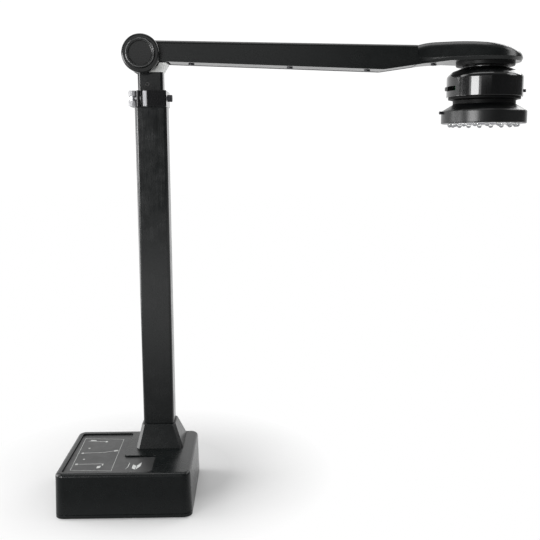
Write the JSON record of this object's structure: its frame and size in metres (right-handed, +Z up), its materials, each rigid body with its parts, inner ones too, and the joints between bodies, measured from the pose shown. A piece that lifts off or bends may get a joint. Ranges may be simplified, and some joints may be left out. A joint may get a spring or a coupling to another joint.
{
  "type": "book scanner",
  "caption": "Overhead book scanner with a heavy box base, telescopic mast, folding arm and a swivelling round camera head with a ring of lamps.",
  "frame": {"origin": "centre of the base's footprint, on the surface that the scanner stands on", "axes": "+Z up the mast, +X along the folded-out arm towards the camera head, +Y towards the back of the base, where the ports are"},
  "size_m": [0.4609, 0.1282, 0.4545],
  "materials": {
    "base_black": "fine-textured black moulding",
    "label_black": "printed black film",
    "foot_rubber": "soft black rubber",
    "screw_steel": "zinc plated",
    "black_steel": "black oxide steel",
    "ballast_iron": "raw casting",
    "circuit_green": "solder mask",
    "port_shell": "bright plated",
    "contact_brass": "plated",
    "tongue_white": "moulded",
    "mast_anodised": "black anodised",
    "raw_aluminium": "machined",
    "bush_nylon": "self-lubricating nylon",
    "clamp_black": "glossy black",
    "lever_grey": "bright grey",
    "arm_black": "satin black moulding",
    "disc_black": "satin black",
    "cable_black": "cable jacket",
    "head_gloss": "polished black",
    "ring_black": "satin black",
    "switch_black": "gloss black",
    "lens_glass": "coated lens",
    "face_grey": "matt dark grey",
    "lamp_clear": "clear epoxy domes"
  },
  "bodies": {
    "base": {"base_pad": "foot_rubber", "base_tray": "base_black", "base_shell": "base_black", "base_screws": "screw_steel", "ballast_block": "ballast_iron", "ballast_screws": "screw_steel", "main_board": "circuit_green", "board_posts": "bush_nylon", "usb_socket": "port_shell", "usb_tongue": "tongue_white", "power_socket": "port_shell", "power_pin": "contact_brass", "label_panel": "label_black", "foot_block": "raw_aluminium", "foot_screws": "screw_steel", "foot_collar": "base_black", "outer_tube": "mast_anodised", "mouth_bush": "bush_nylon", "clamp_band": "clamp_black", "clamp_bolt": "screw_steel", "lever_pin": "screw_steel"},
    "lever": {"clamp_lever": "lever_grey"},
    "nut": {"clamp_nut": "black_steel"},
    "mast": {"inner_tube": "mast_anodised", "glide_shoe": "bush_nylon", "stop_plug": "bush_nylon", "mast_head": "raw_aluminium", "mast_screws": "black_steel", "hinge_shaft": "screw_steel", "friction_washers": "bush_nylon", "spring_washer": "screw_steel", "hinge_nut": "screw_steel"},
    "arm": {"arm_shell": "arm_black", "arm_cover": "arm_black", "arm_screws": "black_steel", "arm_harness": "cable_black", "front_disc": "disc_black", "rear_disc": "disc_black", "paddle_cap": "arm_black", "swivel_collar": "ring_black"},
    "knob": {"tension_knob": "disc_black"},
    "head": {"swivel_spindle": "raw_aluminium", "swivel_washer": "bush_nylon", "swivel_nut": "screw_steel", "head_shell": "head_gloss", "head_carrier": "base_black", "carrier_screws": "black_steel", "camera_board": "circuit_green", "board_bracket": "bush_nylon", "lens_holder": "face_grey", "lens_barrel": "face_grey", "lens_glass": "lens_glass", "slide_board": "circuit_green"},
    "slide": {"brightness_slide": "switch_black"},
    "lock": {"lock_screw": "black_steel"},
    "ring": {"lamp_ring": "ring_black", "focus_lever": "black_steel", "lamp_board": "circuit_green", "face_plate": "face_grey", "lamps": "lamp_clear"}
  },
  "joints": [
    {"name": "mast_slide", "type": "slide", "parent": "base", "child": "mast", "axis": [0, 0, 1], "range_m": [-0.016, 0.12]},
    {"name": "arm_tilt", "type": "hinge", "parent": "mast", "child": "arm", "pos_m": [0.0194, 0.028, 0.4364], "axis": [0, -1, 0], "range_deg": [0, 100]},
    {"name": "knob_turn", "type": "hinge", "parent": "arm", "child": "knob", "pos_m": [0.0194, 0.028, 0.4364], "axis": [0, -1, 0], "range_deg": [-180, 180]},
    {"name": "lever_swing", "type": "hinge", "parent": "base", "child": "lever", "pos_m": [0.0104, 0.0112, 0.3945], "axis": [0, 0, 1], "range_deg": [0, 120]},
    {"name": "nut_turn", "type": "hinge", "parent": "base", "child": "nut", "pos_m": [0.046, 0.0112, 0.3945], "axis": [1, 0, 0], "continuous": true},
    {"name": "head_swivel", "type": "hinge", "parent": "arm", "child": "head", "pos_m": [0.3547, 0.028, 0.41], "axis": [0, 0, 1], "range_deg": [-150, 150]},
    {"name": "focus_turn", "type": "hinge", "parent": "head", "child": "ring", "pos_m": [0.3547, 0.028, 0.376], "axis": [0, 0, 1], "range_deg": [-30, 30]},
    {"name": "brightness_turn", "type": "hinge", "parent": "head", "child": "slide", "pos_m": [0.3547, 0.028, 0.4039], "axis": [0, 0, 1], "range_deg": [0, 15]},
    {"name": "lock_turn", "type": "hinge", "parent": "head", "child": "lock", "pos_m": [0.38947, 0.01868, 0.4017], "axis": [0.9659, -0.2588, 0], "range_deg": [-180, 180]}
  ]
}
